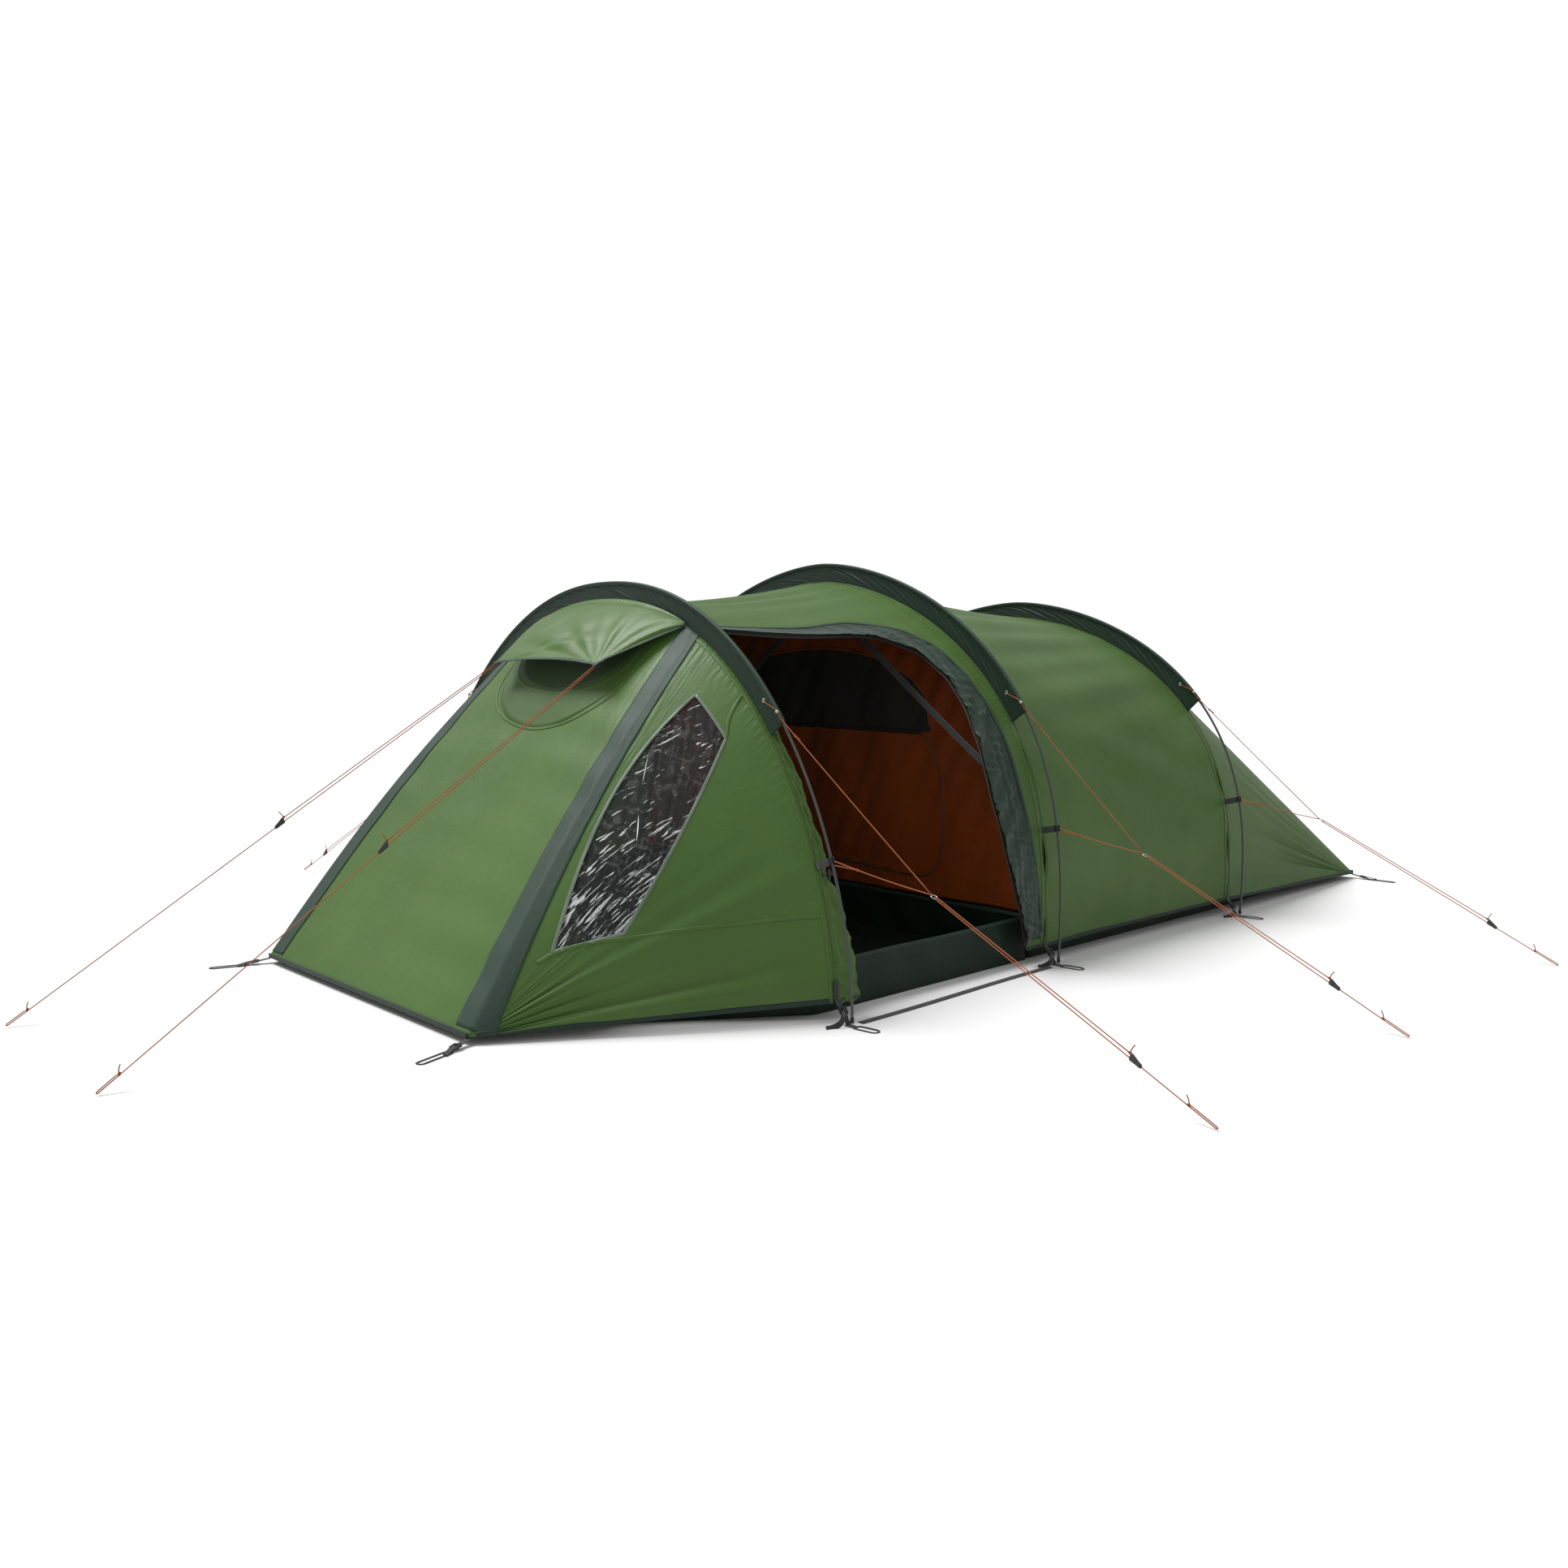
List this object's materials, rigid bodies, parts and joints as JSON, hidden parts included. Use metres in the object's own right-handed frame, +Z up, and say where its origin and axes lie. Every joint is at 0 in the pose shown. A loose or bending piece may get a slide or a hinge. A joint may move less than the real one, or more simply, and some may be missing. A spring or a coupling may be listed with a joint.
{
  "type": "tunnel tent",
  "caption": "Tunnel tent on hoop poles in outer sleeves, with a sloping porch, an open side door, an inner tent with an attached groundsheet, and guy lines with runners.",
  "frame": {"origin": "on the ground, under the middle of the tent's box without its guy lines", "axes": "+X towards the door side, +Y from the porch to the tail, +Z up"},
  "size_m": [4.6322, 5.0891, 1.3568],
  "materials": {
    "fly": "silky coated polyester, mid green",
    "sleeve": "dark green ripstop polyester",
    "trim": "grey-green coated polyester",
    "window": "clear soft vinyl sheet",
    "groundsheet": "dark green coated tarpaulin",
    "inner": "orange-brown breathable polyester",
    "mesh": "black insect mesh",
    "pole": "dark grey fibreglass, satin",
    "webbing": "woven dark grey webbing",
    "plastic": "moulded black plastic",
    "cord": "braided orange-brown cord"
  },
  "bodies": {
    "tent": {"pole_front": "pole", "pole_middle": "pole", "pole_rear": "pole", "sleeve_front": "sleeve", "sleeve_middle": "sleeve", "sleeve_rear": "sleeve", "fly_living": "fly", "fly_bedroom": "fly", "fly_porch": "fly", "fly_tail": "fly", "porch_hood": "fly", "door_gathered": "fly", "window_door_side": "window", "window_far_side": "window", "door_rain_flap": "trim", "porch_groundsheet": "groundsheet", "inner_groundsheet": "groundsheet", "inner_canopy": "inner", "inner_front_wall": "inner", "inner_mesh_panel": "mesh", "foot_front_door_side": "webbing", "foot_front_far_side": "webbing", "foot_middle_door_side": "webbing", "foot_middle_far_side": "webbing", "foot_rear_door_side": "webbing", "foot_rear_far_side": "webbing", "pole_tab_front_door_side": "webbing", "pole_tab_front_far_side": "webbing", "pole_tab_middle_door_side": "webbing", "pole_tab_middle_far_side": "webbing", "pole_tab_rear_door_side": "webbing", "pole_tab_rear_far_side": "webbing", "corner_loop_porch_door_side": "webbing", "corner_loop_porch_far_side": "webbing", "corner_loop_tail_door_side": "webbing", "corner_loop_tail_far_side": "webbing", "ground_strap": "webbing", "guy_line_front_door_side": "cord", "guy_line_front_far_side": "cord", "guy_line_middle_door_side": "cord", "guy_line_rear_door_side": "cord", "guy_line_hood_door_side": "cord", "guy_line_hood_far_side": "cord", "bridle_front_door_side": "cord", "bridle_front_far_side": "cord", "bridle_middle_door_side": "cord", "bridle_rear_door_side": "cord"},
    "runner_front_door_side": {"runner_front_door_side": "plastic"},
    "runner_front_far_side": {"runner_front_far_side": "plastic"},
    "runner_middle_door_side": {"runner_middle_door_side": "plastic"},
    "runner_rear_door_side": {"runner_rear_door_side": "plastic"},
    "runner_hood_door_side": {"runner_hood_door_side": "plastic"},
    "runner_hood_far_side": {"runner_hood_far_side": "plastic"},
    "door_zip_slider": {"door_zip_slider": "plastic"},
    "inner_zip_slider": {"inner_zip_slider": "plastic"},
    "door_toggle": {"door_toggle": "plastic"}
  },
  "joints": [
    {"name": "runner_front_door_side_slide", "type": "slide", "parent": "tent", "child": "runner_front_door_side", "axis": [-0.9041, 0.0252, 0.4266], "range_m": [0, 0.6], "deforming": ["guy_line_front_door_side"]},
    {"name": "runner_front_far_side_slide", "type": "slide", "parent": "tent", "child": "runner_front_far_side", "axis": [0.9041, 0.0252, 0.4266], "range_m": [0, 0.6], "deforming": ["guy_line_front_far_side"]},
    {"name": "runner_middle_door_side_slide", "type": "slide", "parent": "tent", "child": "runner_middle_door_side", "axis": [-0.9041, 0.0239, 0.4266], "range_m": [0, 0.6], "deforming": ["guy_line_middle_door_side"]},
    {"name": "runner_rear_door_side_slide", "type": "slide", "parent": "tent", "child": "runner_rear_door_side", "axis": [-0.9035, 0.0435, 0.4263], "range_m": [0, 0.6], "deforming": ["guy_line_rear_door_side"]},
    {"name": "runner_hood_door_side_slide", "type": "slide", "parent": "tent", "child": "runner_hood_door_side", "axis": [-0.0571, 0.8388, 0.5414], "range_m": [0, 0.8], "deforming": ["guy_line_hood_door_side"]},
    {"name": "runner_hood_far_side_slide", "type": "slide", "parent": "tent", "child": "runner_hood_far_side", "axis": [0.0571, 0.8388, 0.5414], "range_m": [0, 0.8], "deforming": ["guy_line_hood_far_side"]},
    {"name": "door_zip_slide", "type": "slide", "parent": "tent", "child": "door_zip_slider", "axis": [-0.0825, -0.2436, 0.9664], "range_m": [0, 0.15]},
    {"name": "inner_zip_slide", "type": "slide", "parent": "tent", "child": "inner_zip_slider", "axis": [1, 0, 0], "range_m": [-0.85, 0.4]},
    {"name": "door_toggle_turn", "type": "hinge", "parent": "tent", "child": "door_toggle", "pos_m": [1.0684, -1.1103, 0.403], "axis": [1, 0, 0], "range_deg": [-60, 60]}
  ]
}
